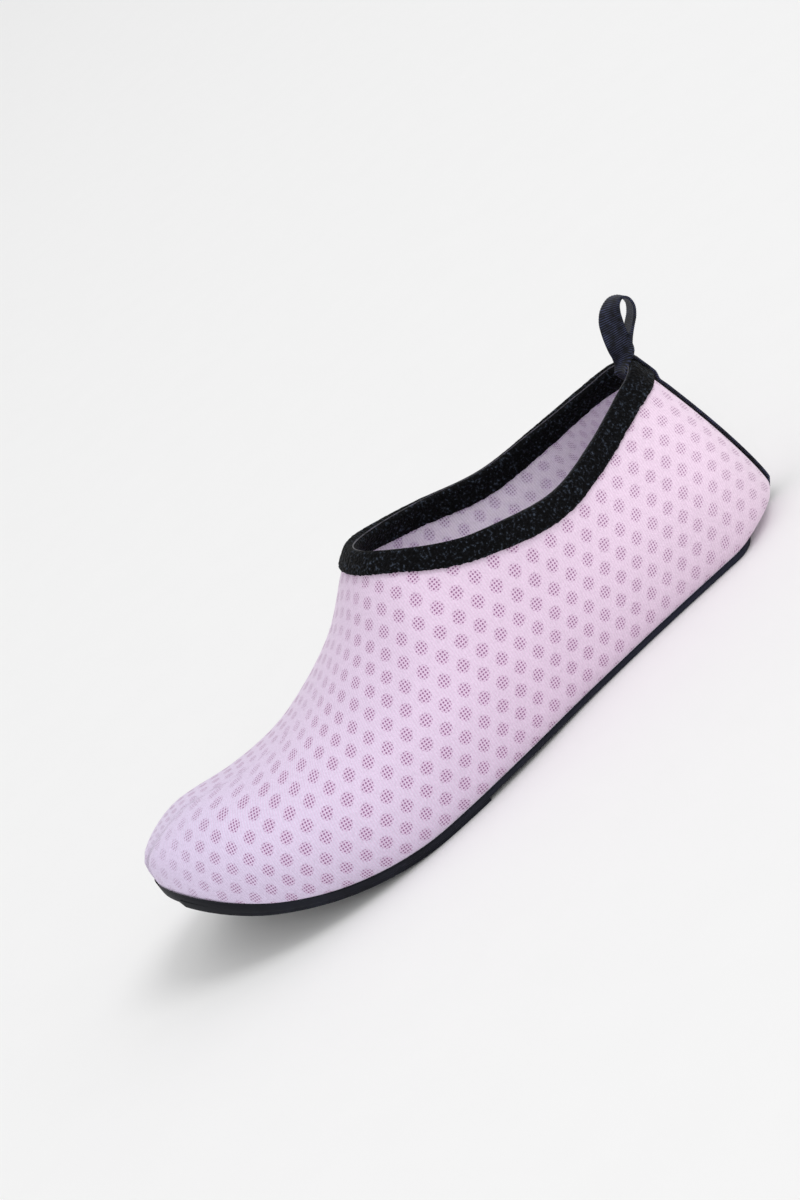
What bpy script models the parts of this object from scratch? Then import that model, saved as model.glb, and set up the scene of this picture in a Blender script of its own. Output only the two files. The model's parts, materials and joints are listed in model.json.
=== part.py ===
"""Yoga shoe for the left foot: a soft slip-on of thin knit with a bound collar, a heel tape with a
pull loop, a foam insole and a thin rubber outsole with tread bars.

The toe points to -Y, the outer side of the foot is +X and the floor is at Z = 0. Every place along
the shoe is a share of its length, 0 at the back of the heel and 1 at the tip of the toe. The upper
is made of ribs: each rib comes down from the collar to the widest outline, rounds in under the foot
to the edge of the sole and ends in a lip that lies on the sole.
"""
from collections import namedtuple

import bmesh
import bpy
import numpy as np

mm = 0.001

# Driving sizes of the last
length = 244 * mm
ball_width = 92 * mm
heel_width = 64 * mm
waist_width = 68 * mm
instep_height = 80 * mm
heel_height = 68 * mm
side_height = 63.5 * mm
outer_dip = 2.5 * mm
toe_spring = 25 * mm
spring_start = 165 * mm
arch_rise = 2.5 * mm
arch_centre = 105 * mm
arch_reach = 45 * mm
toe_swing = 9 * mm
swing_start = 110 * mm
heel_round = 32 * mm
outer_toe_round = 66 * mm
inner_toe_round = 48 * mm

# Collar in plan
collar_width = 57 * mm
collar_back = 15 * mm
collar_front = 127 * mm
collar_heel_round = 9 * mm
collar_front_round = 42 * mm

# Upper's wall and its tuck under the foot
wall = 1.6 * mm
widest_height = 9.5 * mm
heel_widest_drop = 2.4 * mm
toe_widest_rise = 2.5 * mm
heel_straight = 0.65
side_tuck = 4.2 * mm
toe_tuck = 6.4 * mm
heel_tuck = 16.5 * mm
lip_width = 5 * mm

# Sole and insole
base_thickness = 2.0 * mm
tread_depth = 1.3 * mm
heel_flat_end = 80 * mm
rise_end = 142 * mm
tread_start = 148 * mm
toe_margin = 8 * mm
tread_end = length - toe_margin
tread_nose = 15 * mm
tread_inset = 1.0 * mm
edge_step = 0.6 * mm
groove_width = 2.2 * mm
groove_depth = 1.0 * mm
groove_pitch = 10.5 * mm
groove_margin = 7 * mm
heel_groove_start = 30 * mm
insole_thickness = 3.0 * mm

# Binding, heel tape and pull loop
binding_height = 9.0 * mm
binding_thickness = 1.1 * mm
tape_width = 8.5 * mm
tape_thickness = 0.8 * mm
tape_ramp = 4 * mm
loop_height = 18.5 * mm
inner_tail = 5 * mm
tail_top = 1.0 * mm
loop_lean = 0.4 * mm

# Clearance between pieces that touch
gap = 0.3 * mm
tail_gap = 0.45 * mm
insole_gap = 0.45 * mm

# Parts of the grid
ribs_round = 64
rows_down = 12
rows_under = 4
wall_steps = 139
tuck_steps = 24
widest_at = wall_steps
edge_at = wall_steps + tuck_steps
crease_angle = 40

WidthRow = namedtuple("WidthRow", "share outer inner")
width_rows = [
    WidthRow(0.00, 0.50 * heel_width, 0.50 * heel_width),
    WidthRow(0.15, 0.50 * heel_width, 0.50 * heel_width),
    WidthRow(0.40, 0.53 * waist_width, 0.455 * waist_width),
    WidthRow(0.55, 0.465 * ball_width, 0.43 * ball_width),
    WidthRow(0.69, 0.50 * ball_width, 0.50 * ball_width),
    WidthRow(0.82, 0.485 * ball_width, 0.495 * ball_width),
    WidthRow(1.00, 0.43 * ball_width, 0.45 * ball_width),
]

# Height of the ridge over the foot above the sole
RidgeRow = namedtuple("RidgeRow", "share height")
ridge_rows = [
    RidgeRow(0.30, 1.60 * instep_height),
    RidgeRow(0.42, 1.20 * instep_height),
    RidgeRow(0.525, 1.00 * instep_height),
    RidgeRow(0.60, 0.775 * instep_height),
    RidgeRow(0.70, 0.60 * instep_height),
    RidgeRow(0.80, 0.505 * instep_height),
    RidgeRow(0.90, 0.44 * instep_height),
    RidgeRow(1.00, 0.28 * instep_height),
]
toe_dome = 27 * mm

# Topline: share of the collar's length from its heel end, and its height above the floor
TopRow = namedtuple("TopRow", "share height")
top_rows = [
    TopRow(0.00, heel_height),
    TopRow(0.12, 0.60 * heel_height + 0.40 * side_height),
    TopRow(0.30, side_height),
    TopRow(0.48, 0.985 * side_height),
    TopRow(0.70, 0.68 * side_height + 0.32 * instep_height),
    TopRow(0.88, 0.30 * side_height + 0.70 * instep_height),
    TopRow(1.00, instep_height),
]

# Half width of the collar before its ends are rounded
CollarRow = namedtuple("CollarRow", "share outer inner")
collar_rows = [
    CollarRow(0.00, 0.17 * collar_width, 0.17 * collar_width),
    CollarRow(0.08, 0.20 * collar_width, 0.20 * collar_width),
    CollarRow(0.18, 0.29 * collar_width, 0.29 * collar_width),
    CollarRow(0.30, 0.39 * collar_width, 0.39 * collar_width),
    CollarRow(0.45, 0.48 * collar_width, 0.475 * collar_width),
    CollarRow(0.60, 0.52 * collar_width, 0.50 * collar_width),
    CollarRow(0.80, 0.53 * collar_width, 0.49 * collar_width),
    CollarRow(1.00, 0.51 * collar_width, 0.46 * collar_width),
]

# Where on the collar a rib ends, by its start on the outline: both run 0 at the heel to 1 in front
SpreadRow = namedtuple("SpreadRow", "start end")
spread_rows = [
    SpreadRow(0.00, 0.00),
    SpreadRow(0.05, 0.012),
    SpreadRow(0.10, 0.045),
    SpreadRow(0.16, 0.12),
    SpreadRow(0.25, 0.29),
    SpreadRow(0.40, 0.585),
    SpreadRow(0.55, 0.80),
    SpreadRow(0.70, 0.915),
    SpreadRow(0.85, 0.975),
    SpreadRow(1.00, 1.00),
]

# The pull loop's ribbon seen from the side, from the collar's inner side round to its outer side:
# how far back and up of the rim, and the ribbon's turn to face the outer side, in degrees
LoopRow = namedtuple("LoopRow", "back up turn")
loop_rows = [
    LoopRow(-0.075 * loop_height, 0.20 * loop_height, 12),
    LoopRow(-0.055 * loop_height, 0.34 * loop_height, 18),
    LoopRow(-0.020 * loop_height, 0.48 * loop_height, 19),
    LoopRow(0.025 * loop_height, 0.65 * loop_height, 14),
    LoopRow(0.09 * loop_height, 0.84 * loop_height, 10),
    LoopRow(0.22 * loop_height, 0.985 * loop_height, 8),
    LoopRow(0.40 * loop_height, 1.025 * loop_height, 6),
    LoopRow(0.555 * loop_height, 0.93 * loop_height, 4),
    LoopRow(0.58 * loop_height, 0.78 * loop_height, 2),
    LoopRow(0.485 * loop_height, 0.65 * loop_height, 1),
    LoopRow(0.31 * loop_height, 0.54 * loop_height, 1),
    LoopRow(0.12 * loop_height, 0.455 * loop_height, 3),
    LoopRow(0.015 * loop_height, 0.34 * loop_height, 3),
    LoopRow(-0.008 * loop_height, 0.20 * loop_height, 2),
]


def smooth(rows, at, column=1):
    """Reads a column of a table on a smooth curve through its rows."""
    x = np.array([row[0] for row in rows])
    y = np.array([row[column] for row in rows])
    slope = np.gradient(y, x)
    at = np.clip(at, x[0], x[-1])
    i = np.clip(np.searchsorted(x, at, side="right") - 1, 0, len(x) - 2)
    step = x[i + 1] - x[i]
    t = (at - x[i]) / step
    return ((2 * t**3 - 3 * t**2 + 1) * y[i] + (t**3 - 2 * t**2 + t) * step * slope[i]
            + (3 * t**2 - 2 * t**3) * y[i + 1] + (t**3 - t**2) * step * slope[i + 1])


def ease(t):
    t = np.clip(t, 0, 1)
    return t * t * (3 - 2 * t)


def half_width(share, outer):
    """Half width of the widest outline, with both ends rounded."""
    full = smooth(width_rows, share, 1) if outer else smooth(width_rows, share, 2)
    toe_round = outer_toe_round if outer else inner_toe_round
    heel = np.clip(1 - share * length / heel_round, 0, 1)
    toe = np.clip(1 - (1 - share) * length / toe_round, 0, 1)
    return full * np.sqrt(1 - heel**2.05) * np.sqrt(1 - toe**2.3)


def swing(share):
    """The centre line turns in towards the big toe."""
    start = swing_start / length
    return -toe_swing * np.clip((share - start) / (1 - start), 0, 1) ** 2


def floor_height(x, y):
    """Underside of the sole's base: down at the heel, a tread higher from the ball on, up at the toe."""
    share = 0.5 - y / length
    rise = tread_depth * ease((share * length - heel_flat_end) / (rise_end - heel_flat_end))
    start = spring_start / length
    spring = toe_spring * np.clip((share - start) / (1 - start), 0, 1) ** 2
    bump = ease(1 - np.abs(share * length - arch_centre) / arch_reach)
    side = ease(0.5 - (x - swing(share)) / waist_width)
    return rise + spring + arch_rise * bump * side


def level(x, y, height):
    """Height of a point that stands this far off the base's underside, measured square to its slope."""
    step = 0.5 * mm
    slope = (floor_height(x, y + step) - floor_height(x, y - step)) / (2 * step)
    return floor_height(x, y) + height * np.sqrt(1 + slope**2)


def dense_side(outer):
    share = (1 - np.cos(np.linspace(0, np.pi, 600))) / 2
    x = half_width(share, outer) * (1 if outer else -1) + swing(share)
    y = (0.5 - share) * length
    run = np.concatenate([[0], np.cumsum(np.hypot(np.diff(x), np.diff(y)))])
    return x, y, run / run[-1]


outer_side = dense_side(True)
inner_side = dense_side(False)


def outline(u):
    """Widest outline: u is 0 at the heel, 0.25 on the outer side, 0.5 at the toe, 0.75 inside."""
    u = np.asarray(u) % 1.0
    out = u <= 0.5
    run = np.where(out, 2 * u, 2 - 2 * u)
    places = []
    for axis in range(2):
        outer = np.interp(run, outer_side[2], outer_side[axis])
        inner = np.interp(run, inner_side[2], inner_side[axis])
        places.append(np.where(out, outer, inner))
    return np.stack(places, -1)


def outline_normal(u):
    step = 0.004
    along = outline(u + step) - outline(u - step)
    along /= np.linalg.norm(along, axis=-1, keepdims=True)
    # u runs heel, outer side, toe: outwards is to the left of that way
    return np.stack([-along[..., 1], along[..., 0]], -1)


def collar(u):
    """Top edge of the collar for the rib at u."""
    u = np.asarray(u) % 1.0
    out = u <= 0.5
    start = np.where(out, 2 * u, 2 - 2 * u)
    share = smooth(spread_rows, start)
    reach = collar_front - collar_back
    heel = np.clip(1 - share * reach / collar_heel_round, 0, 1)
    front = np.clip(1 - (1 - share) * reach / collar_front_round, 0, 1)
    full = np.where(out, smooth(collar_rows, share, 1), smooth(collar_rows, share, 2))
    half = full * np.sqrt(1 - heel**2) * np.sqrt(1 - front**2.4)
    along = (collar_back + share * reach) / length
    x = np.where(out, half, -half) + swing(along)
    y = (0.5 - along) * length
    dip = ease(share / 0.6) * ease((1 - share) / 0.25)
    z = smooth(top_rows, share) - np.where(out, outer_dip, 0) * dip
    return np.stack([x, y, z], -1)


def ridge(share):
    """Height of the last's ridge above the sole, rounded down at the tip of the toe."""
    toe = np.clip(1 - (1 - share) * length / toe_dome, 0, 1)
    return widest_height + (smooth(ridge_rows, share) - widest_height) * np.sqrt(1 - toe**2.2)


def tuck(share):
    """How far the sole's edge lies inside the widest outline."""
    heel = np.clip(1 - share * length / heel_round, 0, 1)
    toe = ease((share - 0.85) / 0.15)
    return side_tuck + (heel_tuck - side_tuck) * ease(heel) + (toe_tuck - side_tuck) * toe


def edge_ring(u, out=0.0):
    """The sole's edge in plan, moved outwards by out."""
    ring = outline(u)
    share = 0.5 - ring[:, 1] / length
    return ring - outline_normal(u) * (tuck(share) - out)[:, None]


def sole_ring(u, out, height):
    """Points at a height above the underside of the sole's base, along its edge moved outwards by out."""
    ring = edge_ring(u, out)
    return np.column_stack([ring, level(ring[:, 0], ring[:, 1], height)])


def rib_curves(u):
    """Dense curves of the ribs: collar, widest outline, in to the sole's edge and along the lip."""
    u = np.atleast_1d(np.asarray(u, float))
    low = outline(u)
    low_share = 0.5 - low[:, 1] / length
    top = collar(u)
    at_heel = ease(1 - low_share * length / heel_round)
    at_toe = ease((low_share - 0.78) / 0.22)
    stand = widest_height - heel_widest_drop * at_heel + toe_widest_rise * at_toe
    wide = level(low[:, 0], low[:, 1], stand)
    t = 1 - np.cos(np.linspace(0, np.pi / 2, wall_steps + 1))
    plan = low[:, None, :] + (top[:, None, :2] - low[:, None, :]) * t[None, :, None]
    share = 0.5 - plan[..., 1] / length
    # The quarters and the heel rise steeply and lean in to the collar
    bow = 1 / (2 - heel_straight * at_heel)
    quarter = wide[:, None] + (top[:, 2] - wide)[:, None] * t[None, :] ** bow[:, None]
    # The vamp is a dome under the ridge
    off = plan[..., 0] - swing(share)
    half = np.where(off >= 0, half_width(share, True), half_width(share, False))
    across = np.clip(np.abs(off) / np.maximum(half, 0.1 * mm), 0, 1)
    under = level(plan[..., 0], plan[..., 1], widest_height)
    dome = under + (ridge(share) - widest_height) * np.sqrt(1 - across**2.2)
    dome += (top[:, 2] - dome[:, -1])[:, None] * t[None, :] ** 3
    forward = np.where(u % 1.0 <= 0.5, u % 1.0, 1 - u % 1.0) * 2
    blend = ease((forward - 0.45) / 0.27)[:, None]
    upper = np.dstack([plan, quarter * (1 - blend) + dome * blend])[:, ::-1]
    # The tuck under the foot
    angle = np.linspace(0, np.pi / 2, tuck_steps + 1)[1:]
    reach = tuck(low_share)[:, None] * (1 - np.cos(angle))[None, :]
    normal = outline_normal(u)
    under_plan = low[:, None, :] - normal[:, None, :] * reach[..., None]
    drop = (stand - base_thickness - gap)[:, None] * np.sin(angle)[None, :]
    under_z = level(under_plan[..., 0], under_plan[..., 1], stand[:, None] - drop)
    tucked = np.dstack([under_plan, under_z])
    # The lip on the sole
    run = np.linspace(0, lip_width, 6)[1:]
    lip_plan = under_plan[:, -1:, :] - normal[:, None, :] * run[None, :, None]
    lip_z = level(lip_plan[..., 0], lip_plan[..., 1], base_thickness + gap)
    curve = np.concatenate([upper, tucked, np.dstack([lip_plan, lip_z])], axis=1)
    steps = np.linalg.norm(np.diff(curve, axis=1), axis=2)
    run = np.concatenate([np.zeros((len(u), 1)), np.cumsum(steps, axis=1)], axis=1)
    return curve, run


def read_ribs(u, down):
    """Points of the outer surface at distances down the ribs: down has a row for each rib."""
    curve, run = rib_curves(u)
    points = np.empty(down.shape + (3,))
    for k in range(len(curve)):
        for axis in range(3):
            points[k, :, axis] = np.interp(down[k], run[k], curve[k, :, axis])
    return points


def rib_length(u, place):
    return rib_curves(u)[1][:, place]


def surface(u, down):
    """Points and outward normals of the outer surface."""
    turn = 0.0015
    move = 0.4 * mm
    points = read_ribs(u, down)
    around = read_ribs(u + turn, down) - read_ribs(u - turn, down)
    along = read_ribs(u, down + move) - read_ribs(u, down - move)
    normals = np.cross(around, along)
    normals /= np.maximum(np.linalg.norm(normals, axis=-1, keepdims=True), 1e-12)
    return points, normals


def rows_at(shares, start, end):
    return start[:, None] + (end - start)[:, None] * np.asarray(shares)[None, :]


def new_material(name, colour, roughness):
    material = bpy.data.materials.new(name)
    material.use_nodes = True
    shader = material.node_tree.nodes["Principled BSDF"]
    shader.inputs["Base Color"].default_value = (*colour, 1)
    shader.inputs["Roughness"].default_value = roughness
    shader.inputs["Metallic"].default_value = 0
    return material


def add_object(name, points, faces, material, parent):
    """One closed body with its faces outward, smooth but for its creases."""
    mesh = bpy.data.meshes.new(name)
    work = bmesh.new()
    verts = [work.verts.new(p) for p in points]
    for face in faces:
        corners = [verts[i] for i in face]
        if len(set(face)) == len(face):
            work.faces.new(corners)
    bmesh.ops.remove_doubles(work, verts=work.verts, dist=0.001 * mm)
    bmesh.ops.recalc_face_normals(work, faces=work.faces)
    if work.calc_volume(signed=True) < 0:
        bmesh.ops.reverse_faces(work, faces=work.faces)
    work.to_mesh(mesh)
    work.free()
    mesh.shade_smooth()
    mesh.set_sharp_from_angle(angle=np.radians(crease_angle))
    mesh.materials.append(material)
    thing = bpy.data.objects.new(name, mesh)
    thing.parent = parent
    bpy.context.scene.collection.objects.link(thing)
    return thing


class Solid:
    """Points and faces of one closed piece, built from rings and strips."""

    def __init__(self):
        self.points = []
        self.faces = []

    def ring(self, points):
        start = len(self.points)
        self.points.extend([tuple(float(v) for v in p) for p in points])
        return list(range(start, len(self.points)))

    def join(self, a, b, closed=True):
        count = len(a)
        for i in range(count if closed else count - 1):
            j = (i + 1) % count
            self.faces.append((a[i], a[j], b[j], b[i]))

    def bridge_all(self, rings, closed=True, loop=False):
        for a, b in zip(rings, rings[1:]):
            self.join(a, b, closed)
        if loop:
            self.join(rings[-1], rings[0], closed)

    def cap(self, ring, height, columns=6):
        """Closes a ring around the foot with rows that cross from the outer to the inner side."""
        count = len(ring)
        half = count // 2
        plan = [np.array(self.points[i]) for i in ring]
        rows = [[ring[0]] * (columns + 1)]
        for k in range(1, half):
            a = plan[k]
            b = plan[count - k]
            row = [ring[k]]
            for j in range(1, columns):
                p = a + (b - a) * j / columns
                row.append(len(self.points))
                self.points.append((float(p[0]), float(p[1]), float(height(p[0], p[1]))))
            row.append(ring[count - k])
            rows.append(row)
        rows.append([ring[half]] * (columns + 1))
        for a, b in zip(rows, rows[1:]):
            for j in range(columns):
                face = []
                for i in (a[j], a[j + 1], b[j + 1], b[j]):
                    if i not in face:
                        face.append(i)
                self.faces.append(tuple(face))


def build_upper(parent):
    """The knit: one wall from the collar to the lip under the foot, open at the top and underneath."""
    u = np.arange(ribs_round) / ribs_round
    widest = rib_length(u, widest_at)
    edge = rib_length(u, edge_at)
    end = rib_length(u, -1)
    start = np.full(len(u), binding_thickness + gap)
    down = np.concatenate([
        rows_at(np.linspace(0, 1, rows_down + 1), start, widest),
        rows_at(np.linspace(0, 1, rows_under + 1)[1:], widest, edge),
        rows_at([0.35, 1.0], edge, end)], axis=1)
    points, normals = surface(u, down)
    inside = points - normals * wall
    solid = Solid()
    rings = [solid.ring(points[:, k]) for k in range(points.shape[1])]
    rings += [solid.ring(inside[:, k]) for k in reversed(range(points.shape[1]))]
    solid.bridge_all(rings, loop=True)
    material = new_material("knit", (0.78, 0.62, 0.80), 0.85)
    return add_object("upper", solid.points, solid.faces, material, parent)


def build_binding(parent):
    """Knit tape folded over the collar's edge, as tall inside as outside."""
    u = np.arange(ribs_round) / ribs_round
    thick = binding_thickness
    tall = binding_height
    under = -wall - gap
    top = 0.25 * thick
    # Each row: distance down from the top edge, distance out of the upper's outer surface
    profile = [
        (tall, gap), (tall, gap + 0.6 * thick), (tall - 0.5 * thick, gap + thick),
        (0.62 * tall, gap + thick), (0.33 * tall, gap + thick), (0.9 * thick, gap + 0.95 * thick),
        (top, gap + 0.4 * thick), (0, -0.5 * wall), (top, under - 0.4 * thick),
        (0.9 * thick, under - 0.95 * thick), (0.33 * tall, under - thick), (0.62 * tall, under - thick),
        (tall - 0.5 * thick, under - thick), (tall, under - 0.6 * thick), (tall, under),
        (0.5 * tall, under), (thick, under), (thick, gap), (0.5 * tall, gap)]
    down = np.tile(np.array([row[0] for row in profile]), (len(u), 1))
    least = 0.5 * mm
    points, normals = surface(u, np.maximum(down, least))
    # Above the least distance the rows go on straight up
    above = read_ribs(u, np.tile([least, 5 * least], (len(u), 1)))
    rise = above[:, :1] - above[:, 1:]
    rise /= np.linalg.norm(rise, axis=-1, keepdims=True)
    points = points + rise * np.maximum(least - down, 0)[..., None]
    out = np.array([row[1] for row in profile])
    points = points + normals * out[None, :, None]
    solid = Solid()
    rings = [solid.ring(points[:, k]) for k in range(points.shape[1])]
    solid.bridge_all(rings, loop=True)
    material = new_material("binding knit", (0.012, 0.012, 0.018), 0.9)
    return add_object("collar_binding", solid.points, solid.faces, material, parent)


def build_insole(parent):
    """Foam sock liner: it lies on the lip and fills the opening inside it down to the sole."""
    u = np.arange(ribs_round) / ribs_round
    on_sole = base_thickness + gap
    on_lip = on_sole + wall + insole_gap
    top = on_lip + insole_thickness
    bowl = np.linspace(0, 1, rows_under + 1)[1:]
    points, normals = surface(u, rows_at(bowl, rib_length(u, widest_at), rib_length(u, edge_at)))
    side = points - normals * (wall + insole_gap)
    inner = lip_width + 0.6 * wall + insole_gap
    solid = Solid()
    rings = [solid.ring(sole_ring(u, -gap, top))]
    rings += [solid.ring(side[:, k]) for k in range(rows_under)]
    rings += [solid.ring(sole_ring(u, -inner, on_lip)), solid.ring(sole_ring(u, -inner, on_sole))]
    solid.bridge_all(rings)
    solid.cap(rings[0], lambda x, y: level(x, y, top), 4)
    solid.cap(rings[-1], lambda x, y: level(x, y, on_sole), 4)
    material = new_material("insole foam", (0.45, 0.38, 0.48), 0.9)
    return add_object("insole", solid.points, solid.faces, material, parent)


def sole_half(share, inner, out):
    """Where the sole's edge, moved outwards by out, lies across the foot at a share of the length."""
    u = np.linspace(0, 0.5, 240)
    side = edge_ring(1 - u if inner else u, out)
    return np.interp((share - 0.5) * length, -side[:, 1], side[:, 0])


def build_tread(parent, material):
    """The forefoot's raised tread: a slab under the base, its upper face sunk in it."""
    places = [*np.linspace(tread_start, tread_end - tread_nose, 8)]
    places += [tread_end - share * tread_nose for share in (0.6, 0.27, 0)]
    shares = np.array(places) / length
    taper = 0.3 * mm
    columns = 6
    solid = Solid()
    layers = []
    for depth, shrink in ((0.5 * base_thickness, 0), (-tread_depth, taper)):
        rows = []
        for k, share in enumerate(shares):
            end = shrink if k == 0 else -shrink if k == len(shares) - 1 else 0
            moved = share + end / length
            outer = sole_half(moved, False, edge_step - tread_inset - shrink)
            inner = sole_half(moved, True, edge_step - tread_inset - shrink)
            y = (0.5 - moved) * length
            x = outer + (inner - outer) * np.arange(columns + 1) / columns
            rows.append(solid.ring(np.column_stack([x, np.full(columns + 1, y), level(x, y, depth)])))
        layers.append(rows)
    for rows in (layers[0], layers[-1]):
        for a, b in zip(rows, rows[1:]):
            solid.join(a, b, closed=False)
    rim = [rows[0] + [row[-1] for row in rows[1:-1]] + rows[-1][::-1] + [row[0] for row in rows[-2:0:-1]]
           for rows in layers]
    solid.join(rim[0], rim[1])
    tread = add_object("tread", solid.points, solid.faces, material, parent)
    return hide_tool(tread)


def hide_tool(tool):
    tool.hide_render = True
    tool.display_type = "WIRE"
    return tool


def groove_places():
    """Middle of each groove as a length from the heel, with the depth of the tread that it cuts."""
    places = []
    at_heel = (heel_groove_start, heel_flat_end, 0.0)
    at_front = (tread_start + groove_pitch, tread_end - 0.6 * tread_nose, tread_depth)
    for start, end, tread in (at_heel, at_front):
        count = int((end - start) / groove_pitch)
        places += [(start + (k + 0.5) * (end - start) / count, tread) for k in range(count)]
    return places


def build_groove(name, place, tread, parent, material):
    """A straight groove across the tread that stops short of both edges."""
    share = place / length
    outer = sole_half(share, False, -groove_margin)
    inner = sole_half(share, True, -groove_margin)
    middle = (outer + inner) / 2
    y = (0.5 - share) * length
    slope = (floor_height(middle, y + mm) - floor_height(middle, y - mm)) / (2 * mm)
    half = np.array([(outer - inner) / 2, groove_width / 2])
    solid = Solid()
    rings = []
    for height in (-tread - 2 * mm, -tread + groove_depth):
        ring = []
        for a, b in ((-1, -1), (1, -1), (1, 1), (-1, 1)):
            along = b * half[1]
            ring.append((middle + a * half[0], y + along, level(middle, y, height) + along * slope))
        rings.append(solid.ring(ring))
    solid.join(rings[0], rings[1])
    solid.faces += [tuple(rings[0]), tuple(rings[1])]
    return hide_tool(add_object(name, solid.points, solid.faces, material, parent))


def carve(thing, tool, operation):
    cut = thing.modifiers.new(tool.name, "BOOLEAN")
    cut.operation = operation
    cut.solver = "EXACT"
    cut.object = tool


def build_outsole(parent):
    """Thin rubber base with a stepped edge, and bars across the heel and the forefoot to stand on."""
    u = np.arange(ribs_round) / ribs_round
    top = base_thickness
    step = edge_step
    # Each row: distance out of the sole's edge, height above its underside
    profile = [(0.0, top), (0.2 * step, 0.95 * top), (0.3 * step, 0.74 * top), (step, 0.70 * top),
               (1.1 * step, 0.45 * top), (0.9 * step, 0.14 * top), (0.3 * step, 0.0)]
    solid = Solid()
    rings = [solid.ring(sole_ring(u, out, height)) for out, height in profile]
    solid.bridge_all(rings)
    solid.cap(rings[0], lambda x, y: level(x, y, top), 4)
    solid.cap(rings[-1], floor_height, 4)
    material = new_material("sole rubber", (0.02, 0.022, 0.035), 0.6)
    outsole = add_object("outsole", solid.points, solid.faces, material, parent)
    carve(outsole, build_tread(parent, material), "UNION")
    for k, (place, tread) in enumerate(groove_places()):
        carve(outsole, build_groove(f"groove_{k}", place, tread, parent, material), "DIFFERENCE")
    return outsole


def heel_strip(widths, down, out):
    """Points across the back of the heel: for each distance down, and its height out of the surface."""
    u = np.linspace(0, 0.075, 76)
    points, normals = surface(u, np.tile(down, (len(u), 1)))
    lifted = points + normals * out[None, :, None]
    strip = np.empty((len(down), len(widths), 3))
    for i in range(len(down)):
        for j, x in enumerate(widths):
            place = [np.interp(abs(x), lifted[:, i, 0], lifted[:, i, axis]) for axis in range(3)]
            place[0] *= np.sign(x)
            strip[i, j] = place
    return strip


def ribbon_solid(name, middle, thickness, material, parent):
    """A strip of even thickness about a grid of points: rows along it, columns across it."""
    along = np.gradient(middle, axis=0)
    across = np.gradient(middle, axis=1)
    normals = np.cross(across, along)
    normals /= np.linalg.norm(normals, axis=-1, keepdims=True)
    front = middle + normals * thickness / 2
    back = middle - normals * thickness / 2
    solid = Solid()
    rings = []
    for i in range(len(middle)):
        rings.append(solid.ring(np.concatenate([front[i], back[i][::-1]])))
    solid.bridge_all(rings)
    columns = middle.shape[1]
    for ring in (rings[0], rings[-1]):
        for j in range(columns - 1):
            solid.faces.append((ring[j], ring[j + 1], ring[2 * columns - 2 - j], ring[2 * columns - 1 - j]))
    return add_object(name, solid.points, solid.faces, material, parent)


def build_tape(parent, material):
    """Ribbon over the back seam, from the binding down under the heel."""
    start = binding_height + gap
    widest = float(rib_length(0.0, widest_at)[0])
    edge = float(rib_length(0.0, edge_at)[0])
    under = widest + (edge - widest) * np.linspace(0, 1, rows_under + 1)[1:-1]
    ramp = start + tape_ramp * np.array([0, 0.35, 0.7])
    down = np.concatenate([ramp, np.linspace(start + tape_ramp, widest, 9), under])
    lift = gap + binding_thickness * (1 - ease((down - start) / tape_ramp))
    widths = tape_width * np.linspace(-0.5, 0.5, 5)
    middle = heel_strip(widths, down, lift + tape_thickness / 2)
    return ribbon_solid("heel_tape", middle, tape_thickness, material, parent)


def build_loop(parent, material):
    """The same ribbon folded to a loop: its ends lie inside and outside the binding at the heel."""
    widths = tape_width * np.linspace(-0.5, 0.5, 5)
    inside = -(wall + gap + binding_thickness + tail_gap + tape_thickness / 2)
    outside = gap + binding_thickness + tail_gap + tape_thickness / 2
    tail_in = np.linspace(inner_tail, tail_top, 4)
    tail_out = np.linspace(tail_top, binding_height, 6)
    first = heel_strip(widths, tail_in, np.full(len(tail_in), inside))
    last = heel_strip(widths, tail_out, np.full(len(tail_out), outside))
    rim = np.array([0, 0.5 * length - collar_back + loop_lean, heel_height])
    path = [first[-1][2]] + [rim + np.array([0, row.back, row.up]) for row in loop_rows] + [last[0][2]]
    turn = [0] + [row.turn for row in loop_rows] + [0]
    path = np.array(path)
    knots = np.concatenate([[0], np.cumsum(np.linalg.norm(np.diff(path, axis=0), axis=1))])
    at = np.linspace(0, knots[-1], 42)[1:-1]
    centre = np.stack([smooth(list(zip(knots, path[:, axis])), at) for axis in range(3)], 1)
    angle = np.radians(smooth(list(zip(knots, turn)), at))
    flat = np.stack([np.cos(angle), np.sin(angle), np.zeros(len(at))], 1)
    settle = 0.30 * loop_height
    grid = []
    for k in range(len(at)):
        straight = widths[:, None] * flat[k][None, :]
        a = ease(at[k] / settle)
        b = ease((knots[-1] - at[k]) / settle)
        bent = (first[-1] - first[-1][2]) * (1 - a) + (last[0] - last[0][2]) * (1 - b)
        grid.append(centre[k] + straight * a * b + bent)
    middle = np.concatenate([first, np.array(grid), last])
    return ribbon_solid("pull_loop", middle, tape_thickness, material, parent)


def stand_at_origin(parent):
    """Puts the middle of the shoe's box over the origin, with its lowest point on the floor."""
    corners = []
    for thing in parent.children:
        if thing.display_type != "WIRE":
            corners += [vert.co[:] for vert in thing.data.vertices]
    corners = np.array(corners)
    low = corners.min(axis=0)
    high = corners.max(axis=0)
    parent.location = (-(low[0] + high[0]) / 2, -(low[1] + high[1]) / 2, 0)


def main():
    for thing in list(bpy.data.objects):
        bpy.data.objects.remove(thing, do_unlink=True)
    shoe = bpy.data.objects.new("shoe", None)
    bpy.context.scene.collection.objects.link(shoe)
    ribbon = new_material("ribbon", (0.015, 0.016, 0.028), 0.75)
    build_outsole(shoe)
    build_insole(shoe)
    build_upper(shoe)
    build_binding(shoe)
    build_tape(shoe, ribbon)
    build_loop(shoe, ribbon)
    stand_at_origin(shoe)


main()
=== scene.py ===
import json
import math

import bmesh
import bpy
import numpy as np
from mathutils import Matrix, Vector, noise

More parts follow.
